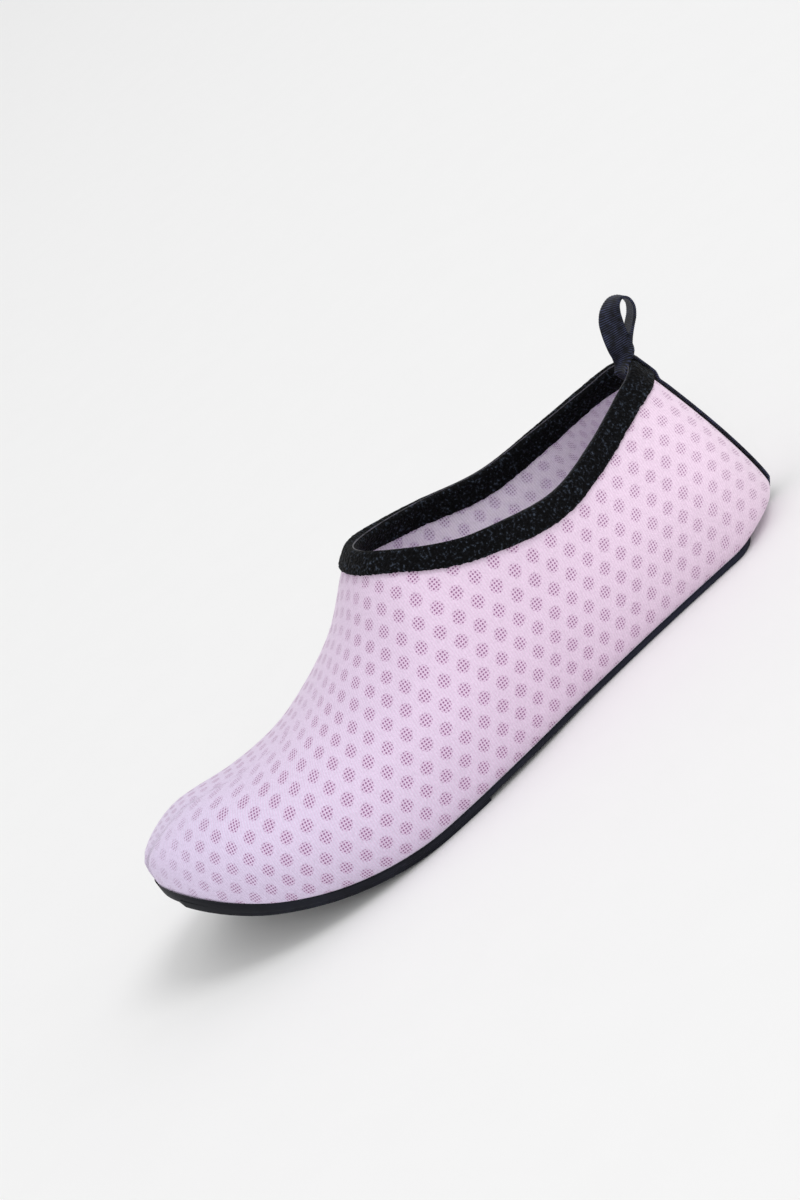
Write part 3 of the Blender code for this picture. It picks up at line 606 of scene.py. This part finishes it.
def buildBinding():
    form = bindingForm
    u = around(form["ribs"])
    thick, under, gap = form["thick"], -last["wall"] - last["gap"], last["gap"]
    # share of the binding's height, distance out from the wall
    outerRows = [(k, gap + thick) for k in np.linspace(0.93, 0.2, 11)]
    innerRows = [(k, under - thick) for k in np.linspace(0.2, 0.93, 9)]
    profile = [(1.0, gap), (1.0, gap + 0.65 * thick)] + outerRows
    profile += [(0.09, gap + 0.86 * thick), (0.02, gap + 0.4 * thick), (-0.01, gap - 0.2),
                (-0.015, -0.5 * last["wall"]), (-0.01, under + 0.2), (0.02, under - 0.4 * thick),
                (0.09, under - 0.86 * thick)]
    profile += innerRows + [(1.0, under - 0.65 * thick), (1.0, under), (0.14, under), (0.14, gap)]
    forward = np.where(u <= 0.5, u, 1 - u) * 2
    height = form["height"] + (form["frontHeight"] - form["height"]) * ease((forward - 0.35) / 0.5)
    share = np.array([row[0] for row in profile])
    out = np.array([row[1] for row in profile])
    edgeNoise = np.array([noise.noise(Vector((k * 0.55, 0.3, 0.7))) + 0.5 * noise.noise(Vector((k * 1.3, 4.3, 0.7)))
                          for k in range(len(u))])
    height = height + form["edgeBump"] * edgeNoise
    down = height[:, None] * share[None, :]
    least = 0.5
    points, normals = surfaceAt(u, np.maximum(down, least))
    above = readRibs(u, np.tile([least, 5 * least], (len(u), 1)))
    rise = above[:, :1] - above[:, 1:]
    rise /= np.linalg.norm(rise, axis=-1, keepdims=True)
    points = points + rise * np.maximum(least - down, 0)[..., None]
    points = points + normals * out[None, :, None]
    centre = (gap + under) / 2
    away = normals * np.sign(out - centre)[None, :, None]
    shown = (share < 0.99)[None, :] & (np.abs(out - centre) > 0.9 * (centre - under + 0.2))[None, :]
    points = points + away * (form["bump"] * bumpAt(points, 1.25, 2.0) * shown)[..., None]
    binding = gridPiece("bindingKnit", points, napMaterial(), closedAlong=True)
    settle(binding, "binding", "collar_binding")
    # the fold: a painted highlight, a fine paler line along the rim where the cloth turns over it
    foldHighlight = {"radius": 0.20, "inward": 0.5, "above": 0.62}
    u = around(400)
    top = readRibs(u, np.tile([least, 5 * least], (len(u), 1)))
    rise = top[:, 0] - top[:, 1]
    rise /= np.linalg.norm(rise, axis=-1, keepdims=True)
    side = surfaceAt(u, np.full((len(u), 1), least))[1][:, 0]
    middle = top[:, 0] + rise * foldHighlight["above"] - side * (0.5 * last["wall"] + foldHighlight["inward"])
    foldHighlightPaint, shader = newMaterial("painted highlight on folded edge", Roughness=0.7, Sheen_Weight=0.3)
    place = addNode(foldHighlightPaint, "TexCoord")
    flecks = addNode(foldHighlightPaint, "TexNoise", {0: (place, "Object")}, Scale=500.0, Detail=2.0)
    dress(foldHighlightPaint, shader, addRamp(foldHighlightPaint, (flecks, 0), (0.35, "#17161C"), (0.65, "#4A4656")))
    fold = gridPiece("bindingFold", tubeRound(middle, side, rise, foldHighlight["radius"]), foldHighlightPaint, closedAlong=True)
    settle(fold, "binding")


buildBinding()
print("binding done")

# Ribbon: black polyester grosgrain, one length from inside the heel over the loop and down the back seam
ribbonForm = {
    "width": 8.5, "thick": 0.8, "loop": 18.5, "lean": 0.4, "innerTail": 5.0, "tailTop": 1.0, "tailGap": 0.45,
    "bindingEnd": 9.3, "ramp": 4.0, "drift": 4.6, "proud": 0.4, "ribs": 0.72, "ribHeight": 0.07, "columns": 13,
    "step": 0.24,
}
# the loop's path in shares of its height, back and up from the rim, and its turn in degrees
loopRows = [(0.00, 0.16, 50), (0.02, 0.30, 62), (0.05, 0.46, 64), (0.10, 0.64, 58), (0.17, 0.82, 44),
            (0.30, 0.97, 24), (0.46, 1.02, 8), (0.60, 0.93, -4), (0.63, 0.78, -9), (0.55, 0.62, -10),
            (0.40, 0.48, -10), (0.25, 0.34, -8), (0.13, 0.20, -5), (0.05, 0.10, 0)]


def heelStrip(widths, down, out, shift=None):
    u = np.linspace(0, 0.075, 90)
    points, normals = surfaceAt(u, np.tile(down, (len(u), 1)))
    lifted = points + normals * out[None, :, None]
    strip = np.empty((len(down), len(widths), 3))
    for k in range(len(down)):
        for j, x in enumerate(widths + (0 if shift is None else shift[k])):
            place = [np.interp(abs(x), lifted[:, k, 0], lifted[:, k, axis]) for axis in range(3)]
            place[0] *= np.sign(x)
            strip[k, j] = place
    return strip


def ribbonMaterial():
    ribbon, shader = newMaterial("polyester grosgrain", Roughness=0.6, Sheen_Weight=0.05, Specular_IOR_Level=0.22)
    place = addNode(ribbon, "TexCoord")
    split = addNode(ribbon, "SeparateXYZ", {0: (place, "UV")})
    turns = addNode(ribbon, "Math", {0: (split, 1)}, operation="MULTIPLY", i1=2 * math.pi / ribbonForm["ribs"])
    wave = addNode(ribbon, "Math", {0: (turns, 0)}, operation="COSINE")
    lift = addNode(ribbon, "MapRange", {0: (wave, 0)}, i1=-1.0)
    warp = addNode(ribbon, "TexNoise", {0: (place, "Object")}, Scale=380.0, Detail=3.0)
    both = addNode(ribbon, "Math", {0: (lift, 0), 1: (warp, 0)}, operation="MULTIPLY")
    # painted highlight on the rib crests and painted shade between them, with random tone from the noise
    colour = addRamp(ribbon, (both, 0), (0.08, "#010206"), (0.30, "#0E1019"), (0.62, "#424868"))
    dress(ribbon, shader, colour, (both, 0), 0.5, 0.0002)
    return ribbon


def buildRibbon():
    form = ribbonForm
    width = form["width"] * np.linspace(-0.5, 0.5, form["columns"])
    above = bindingForm["thick"] + form["tailGap"]
    inside = -(last["wall"] + last["gap"] + above + form["thick"] / 2)
    mid = len(width) // 2
    first = heelStrip(width, np.linspace(form["innerTail"], form["tailTop"], 5), np.full(5, inside))
    run = ribCurves(0.0)[1][0]
    widest, edge = float(run[wallSteps]), float(run[wallSteps + tuckSteps])
    onBinding = form["bindingEnd"]
    down = np.concatenate([np.linspace(form["tailTop"], onBinding, 10),
                           onBinding + form["ramp"] * np.array([0.25, 0.5, 0.75, 1.0]),
                           np.linspace(onBinding + form["ramp"] + 2, widest, 26),
                           widest + (edge - widest) * np.linspace(0, 1, 9)[1:-1]])
    lift = last["gap"] + form["thick"] / 2 + above * (1 - ease((down - onBinding + 0.6) / form["ramp"]))
    lift = lift + form["proud"] * ease((down - onBinding) / 6)
    lastPart = heelStrip(width, down, lift, form["drift"] * ease((down - onBinding) / 50))
    rim = np.array([0, 0.5 * last["length"] - last["collarBack"] + form["lean"], last["heelTop"]])
    rows = [np.array([0, back * form["loop"], up * form["loop"]]) + rim for back, up, _ in loopRows]
    path = np.array([first[-1][mid]] + rows + [lastPart[0][mid]])
    turn = [0] + [row[2] for row in loopRows] + [0]
    knots = np.concatenate([[0], np.cumsum(np.linalg.norm(np.diff(path, axis=0), axis=1))])
    at = np.linspace(0, knots[-1], 120)[1:-1]
    centre = np.stack([smoothRow(list(zip(knots, path[:, axis])), at) for axis in range(3)], 1)
    angle = np.radians(smoothRow(list(zip(knots, turn)), at))
    flat = np.stack([np.cos(angle), np.sin(angle), np.zeros(len(at))], 1)
    loopPart = []
    reach = 0.30 * form["loop"]
    for k in range(len(at)):
        straight = width[:, None] * flat[k][None, :]
        fromStart, fromEnd = ease(at[k] / reach), ease((knots[-1] - at[k]) / reach)
        bent = (first[-1] - first[-1][mid]) * (1 - fromStart) + (lastPart[0] - lastPart[0][mid]) * (1 - fromEnd)
        loopPart.append(centre[k] + straight * fromStart * fromEnd + bent)
    middle = np.concatenate([first, np.array(loopPart), lastPart])
    # even steps along the ribbon
    run = np.concatenate([[0], np.cumsum(np.linalg.norm(np.diff(middle[:, mid], axis=0), axis=1))])
    steps = np.arange(0, run[-1], form["step"])
    even = np.empty((len(steps), len(width), 3))
    for j in range(len(width)):
        for axis in range(3):
            even[:, j, axis] = np.interp(steps, run, middle[:, j, axis])
    along = np.gradient(even, axis=0)
    across = np.gradient(even, axis=1)
    normals = np.cross(across, along)
    normals /= np.linalg.norm(normals, axis=-1, keepdims=True)
    ridge = form["ribHeight"] * np.cos(2 * np.pi * steps / form["ribs"])[:, None, None]
    front = even + normals * (form["thick"] / 2 + ridge)
    back = even - normals * (form["thick"] / 2 + ridge)
    grid = np.concatenate([front, back[:, ::-1]], axis=1).transpose(1, 0, 2)
    place = np.empty(grid.shape[:2] + (2,))
    place[..., 0] = np.concatenate([width, width[::-1]])[:, None]
    place[..., 1] = steps[None, :]
    ribbon = gridPiece("heelRibbon", grid, ribbonMaterial(), sheet=place, ends=True)
    settle(ribbon, "ribbon", "heel_tape", "pull_loop")


buildRibbon()
print("ribbon done")


# Makes one closed mesh of rings round the foot, with both ends closed by rows that cross it
def cappedPiece(name, rings, firstHeight, lastHeight, material, columns=24):
    count = rings.shape[1]
    half = count // 2
    points = [tuple(p) for p in rings.reshape(-1, 3)]
    faces = []
    for r in range(len(rings) - 1):
        for k in range(count):
            k2 = (k + 1) % count
            faces.append((r * count + k, r * count + k2, (r + 1) * count + k2, (r + 1) * count + k))
    for start, height in ((0, firstHeight), ((len(rings) - 1) * count, lastHeight)):
        rows = [[start] * (columns + 1)]
        for k in range(1, half):
            a, b = np.array(points[start + k]), np.array(points[start + count - k])
            row = [start + k]
            for j in range(1, columns):
                p = a + (b - a) * j / columns
                row.append(len(points))
                points.append((p[0], p[1], float(height(p[0], p[1]))))
            rows.append(row + [start + count - k])
        rows.append([start + half] * (columns + 1))
        for a, b in zip(rows, rows[1:]):
            for j in range(columns):
                face = []
                for n in (a[j], a[j + 1], b[j + 1], b[j]):
                    if n not in face:
                        face.append(n)
                faces.append(tuple(face))
    piece = newPiece(name, toWorld(points), faces, material)
    mesh = piece.data
    faceOutward(mesh)
    mesh.shade_smooth()
    mesh.set_sharp_from_angle(angle=math.radians(40))
    return piece


# Outsole: moulded rubber, black with a blue cast, its edge a step proud under a dark line
rubberForm = {
    "ribs": 288, "edgeStep": 1.0, "treadInset": 0.6, "treadNose": 15.0, "taper": 0.3, "grooveWidth": 2.2,
    "grooveDepth": 1.0, "groovePitch": 10.5, "toeGuard": 0.5, "grooveMargin": 7.0, "heelGrooveStart": 30.0,
}


def rubberMaterial():
    rubber, shader = newMaterial("moulded sole rubber", Roughness=0.6, Specular_IOR_Level=0.2)
    place = addNode(rubber, "TexCoord")
    split = addNode(rubber, "SeparateXYZ", {0: (place, "Object")})
    toHeel = addNode(rubber, "MapRange", {0: (split, 1)}, i1=-0.06, i2=0.07)
    cloud = addNode(rubber, "TexNoise", {0: (place, "Object")}, Scale=60.0, Detail=5.0, Roughness=0.6)
    ground = addRamp(rubber, (toHeel, 0), (0.0, "#0B0D16"), (1.0, "#191C2B"))
    amount = addNode(rubber, "MapRange", {0: (cloud, 0)}, i1=0.45, i2=0.8, i4=0.35)
    dusty = addNode(rubber, "Mix", {0: (amount, 0), 6: ground}, data_type="RGBA", i7=toLinear("#2A2D3C"))
    grain = addNode(rubber, "TexNoise", {0: (place, "Object")}, Scale=1400.0, Detail=2.0)
    dress(rubber, shader, (dusty, 2), (grain, 0), 0.25, 0.0002)
    return rubber


# The rubber rises round the toe as a low guard, and its rim is thinner at the heel and the toe's tip
def edgeShares(u):
    share = 0.5 - outline(u)[:, 1] / last["length"]
    guard = 1 + rubberForm["toeGuard"] * ease((share - 0.70) / 0.30)
    slim = 1 - 0.7 * ease(1 - share * last["length"] / last["heelRound"]) - 0.8 * ease((share - 0.86) / 0.14)
    return guard, slim


def soleHalf(share, inner, out):
    u = np.linspace(0, 0.5, 300)
    side = soleRing(1 - u if inner else u, out, 0.0)
    return float(np.interp((share - 0.5) * last["length"], -side[:, 1], side[:, 0]))


def buildOutsole():
    form = rubberForm
    rubber = rubberMaterial()
    u = around(form["ribs"])
    top = last["base"]
    # distance out from the upper's tuck, height over the sole's lower face
    profile = [(0.0, top), (0.55, 1.18 * top), (0.75, 1.20 * top), (0.86, 1.12 * top), (0.88, 0.92 * top),
               (1.0, 0.88 * top), (1.12, 0.78 * top), (1.15, 0.42 * top), (1.05, 0.16 * top), (0.8, 0.05 * top),
               (0.3, 0.0)]
    guard, slim = edgeShares(u)
    rings = np.array([soleRing(u, out * slim, height * (guard if out > 0 and height > 0 else 1.0))
                      for out, height in profile])
    outsole = cappedPiece("rubberSole", rings, lambda x, y: levelAt(x, y, top), floorHeight, rubber)
    # the forefoot's raised tread
    length = last["length"]
    nose, end = form["treadNose"], last["treadEnd"]
    roundTip = (0.85, 0.7, 0.55, 0.4, 0.27, 0.18, 0.11, 0.06, 0.03, 0.012, 0.0)
    places = [*np.linspace(last["treadStart"], end - nose, 40)] + [end - k * nose for k in roundTip]
    proud = form["edgeStep"] - form["treadInset"]
    depths = ((0.5 * top, 0.0), (-last["tread"] + 0.35, 0.0), (-last["tread"] + 0.08, 0.12),
              (-last["tread"], form["taper"]))
    wide = 13
    layers = []
    for depth, shrink in depths:
        rows = []
        for k, place in enumerate(places):
            move = shrink if k == 0 else -shrink if k == len(places) - 1 else 0
            share = (place + move) / length
            outer = soleHalf(share, False, proud - shrink)
            inner = soleHalf(share, True, proud - shrink)
            y = (0.5 - share) * length
            x = outer + (inner - outer) * np.arange(wide) / (wide - 1)
            rows.append(np.column_stack([x, np.full(wide, y), levelAt(x, np.full(wide, y), depth)]))
        layers.append(np.array(rows))
    points = np.concatenate([layer.reshape(-1, 3) for layer in layers])
    rows, size = len(places), wide * len(places)
    faces = []
    for start in (0, 3 * size):
        for a in range(rows - 1):
            for j in range(wide - 1):
                n = start + a * wide + j
                faces.append((n, n + 1, n + wide + 1, n + wide))
    rim = list(range(wide)) + [a * wide + wide - 1 for a in range(1, rows - 1)]
    rim += [(rows - 1) * wide + j for j in range(wide - 1, -1, -1)] + [a * wide for a in range(rows - 2, 0, -1)]
    for level in range(3):
        for a, b in zip(rim, rim[1:] + rim[:1]):
            below = level * size
            faces.append((below + a, below + b, below + size + b, below + size + a))
    tread = newPiece("treadSlab", toWorld(points), faces, rubber)
    faceOutward(tread.data)
    cutters = [(tread, "UNION")]
    spans = ((form["heelGrooveStart"], last["heelFlatEnd"], 0.0),
             (last["treadStart"] + form["groovePitch"], end - 0.6 * nose, last["tread"]))
    for start, stop, depth in spans:
        count = int((stop - start) / form["groovePitch"])
        for k in range(count):
            place = start + (k + 0.5) * (stop - start) / count
            outer = soleHalf(place / length, False, -form["grooveMargin"])
            inner = soleHalf(place / length, True, -form["grooveMargin"])
            x, y = (outer + inner) / 2, length / 2 - place
            z = float(levelAt(x, y, -depth + form["grooveDepth"] - 2.0))
            slope = float(floorHeight(x, y + 1) - floorHeight(x, y - 1)) / 2
            size = ((outer - inner) * mm, form["grooveWidth"] * mm, 4.0 * mm)
            bpy.ops.mesh.primitive_cube_add(size=1, location=tuple(toWorld([x, y, z])), scale=size,
                                            rotation=(math.atan(slope), 0, 0))
            cutters.append((bpy.context.active_object, "DIFFERENCE"))
    bpy.ops.object.select_all(action="DESELECT")
    bpy.context.view_layer.objects.active = outsole
    outsole.select_set(True)
    for tool, kind in cutters:
        cut = outsole.modifiers.new(tool.name, "BOOLEAN")
        cut.operation, cut.solver, cut.object = kind, "EXACT", tool
        bpy.ops.object.modifier_apply(modifier=cut.name)
        bpy.data.objects.remove(tool)
    outsole.data.shade_smooth()
    outsole.data.set_sharp_from_angle(angle=math.radians(35))
    settle(outsole, "rubber", "outsole")


buildOutsole()
print("outsole done")

# Insole: thin foam sock under a plain brushed tricot
insoleForm = {"ribs": 192, "thick": 3.0, "gap": 0.45}


def tricotMaterial():
    tricot, shader = newMaterial("brushed tricot over foam", Roughness=0.9, Sheen_Weight=0.4, Sheen_Roughness=0.5)
    place = addNode(tricot, "TexCoord")
    wale = addNode(tricot, "TexWave", {0: (place, "Object")}, bands_direction="Y", Scale=420.0,
                   Distortion=3.0, Detail=2.0)
    cloud = addNode(tricot, "TexNoise", {0: (place, "Object")}, Scale=120.0, Detail=5.0)
    both = addNode(tricot, "Math", {0: (wale, 1), 1: (cloud, 0)}, operation="MULTIPLY")
    dress(tricot, shader, addRamp(tricot, (both, 0), (0.0, "#C3B8CB"), (0.7, "#D9CFDF")), (both, 0), 0.25, 0.0002)
    return tricot


def buildInsole():
    form = insoleForm
    u = around(form["ribs"])
    onSole = last["base"] + last["gap"]
    onLip = onSole + last["wall"] + form["gap"]
    top = onLip + form["thick"]
    run = ribCurves(u)[1]
    bowl = np.linspace(0, 1, 9)[1:]
    points, normals = surfaceAt(u, rowsAt(bowl, run[:, wallSteps], run[:, wallSteps + tuckSteps]))
    side = points - normals * (last["wall"] + form["gap"])
    inner = last["lip"] + 0.6 * last["wall"] + form["gap"]
    share = 0.5 - outline(u)[:, 1] / last["length"]
    spare = np.maximum(last["wall"] + form["gap"] + 2.0 - tuckIn(share), 0)
    rings = [soleRing(u, -2.4 - spare, top - 0.02), soleRing(u, -1.0 - spare, top - 0.05),
             soleRing(u, -0.3 - spare, top - 0.35)]
    rings += [side[:, k] for k in range(1, 8)]
    rings += [soleRing(u, -inner, onLip), soleRing(u, -inner, onSole)]
    insole = cappedPiece("foamInsole", np.array(rings), lambda x, y: levelAt(x, y, top),
                         lambda x, y: levelAt(x, y, onSole), tricotMaterial(), 16)
    settle(insole, "insole", "insole")


buildInsole()
print("insole done")


# Painted highlight: a thin pale bead along the rubber stands in for light on the knit's bottom edge
beadForm = {"ribs": 300, "radius": 0.2, "out": 0.74, "height": 2.5, "toeIn": 1.2}


def buildBead():
    form = beadForm
    u = around(form["ribs"])
    guard, slim = edgeShares(u)
    share = 0.5 - outline(u)[:, 1] / last["length"]
    middle = soleRing(u, form["out"] * slim - form["toeIn"] * ease((share - 0.70) / 0.14), form["height"] * guard)
    normal = np.column_stack([outlineNormal(u), np.zeros(len(u))])
    # painted highlight: the bead's pale colour
    edgeHighlightPaint, shader = newMaterial("painted highlight along knit edge", Roughness=0.4, Specular_IOR_Level=0.5)
    place = addNode(edgeHighlightPaint, "TexCoord")
    flecks = addNode(edgeHighlightPaint, "TexNoise", {0: (place, "Object")}, Scale=300.0, Detail=2.0)
    dress(edgeHighlightPaint, shader, addRamp(edgeHighlightPaint, (flecks, 0), (0.0, "#D6CCE2"), (1.0, "#F3EEF8")))
    tube = tubeRound(middle, normal, np.array([0, 0, 1.0]), form["radius"])
    bead = gridPiece("edgeBead", tube, edgeHighlightPaint, closedAlong=True)
    settle(bead, "knit")


buildBead()

# Floor and soft light: a pale room, one large soft light from the camera's left, a weaker one behind
studio = {
    "room": "#FFFFFF", "roomStrength": 0.76, "keyPower": 200.0, "keyAt": (3.0, 4.2, 7.4), "keySize": 4.0,
    "fillPower": 33.0, "fillAt": (4.6, -1.4, 2.6), "fillSize": 2.5,
}


def buildStudio():
    bpy.ops.mesh.primitive_plane_add(size=24, location=(0, 0, -0.00005))
    floor = bpy.context.active_object
    floor.name = "floor"
    paper, shader = newMaterial("matt paper floor", Roughness=0.95, Specular_IOR_Level=0.1)
    place = addNode(paper, "TexCoord")
    fibre = addNode(paper, "TexNoise", {0: (place, "Object")}, Scale=40.0, Detail=4.0)
    dress(paper, shader, addRamp(paper, (fibre, 0), (0.0, "#F3F3F3"), (1.0, "#F5F5F5")))
    floor.data.materials.append(paper)
    bpy.context.scene.view_settings.view_transform = "Standard"
    world = bpy.data.worlds.new("pale room")
    bpy.context.scene.world = world
    world.use_nodes = True
    background = world.node_tree.nodes["Background"]
    background.inputs[0].default_value = toLinear(studio["room"])
    background.inputs[1].default_value = studio["roomStrength"]
    for name in ("key", "fill"):
        place = studio[name + "At"]
        data = bpy.data.lights.new(name + "Light", "AREA")
        data.shape, data.size, data.energy = "DISK", studio[name + "Size"], studio[name + "Power"]
        light = bpy.data.objects.new(data.name, data)
        light.location = place
        light.rotation_mode = "QUATERNION"
        light.rotation_quaternion = (Vector((0, 0, 0.04)) - Vector(place)).to_track_quat("-Z", "Y")
        bpy.context.scene.collection.objects.link(light)


buildStudio()

# Camera at the photograph's angle, rolled as the photograph is
cameraForm = {"azimuth": 77.96157, "elevation": 19.75265, "roll": -36.80824, "distance": 955.056, "lens": 88.438,
              "target": (-1.5627, -2.2389, 55.9210)}


def buildCamera():
    form = cameraForm
    az, el, roll = (math.radians(form[key]) for key in ("azimuth", "elevation", "roll"))
    back = Vector((math.sin(az) * math.cos(el), -math.cos(az) * math.cos(el), math.sin(el)))
    right = Vector((math.cos(az), math.sin(az), 0))
    up = back.cross(right)
    across = right * math.cos(roll) + up * math.sin(roll)
    upward = -right * math.sin(roll) + up * math.cos(roll)
    eye = Vector(toWorld(form["target"])) + back * form["distance"] * mm
    data = bpy.data.cameras.new("camera")
    data.lens = form["lens"]
    data.sensor_width = 36
    data.sensor_fit = "AUTO"
    data.clip_start, data.clip_end = 0.05, 60
    camera = bpy.data.objects.new("camera", data)
    bpy.context.scene.collection.objects.link(camera)
    matrix = Matrix((across, upward, back)).transposed().to_4x4()
    matrix.translation = eye
    camera.matrix_world = matrix
    bpy.context.scene.camera = camera


buildCamera()
print("camera set")
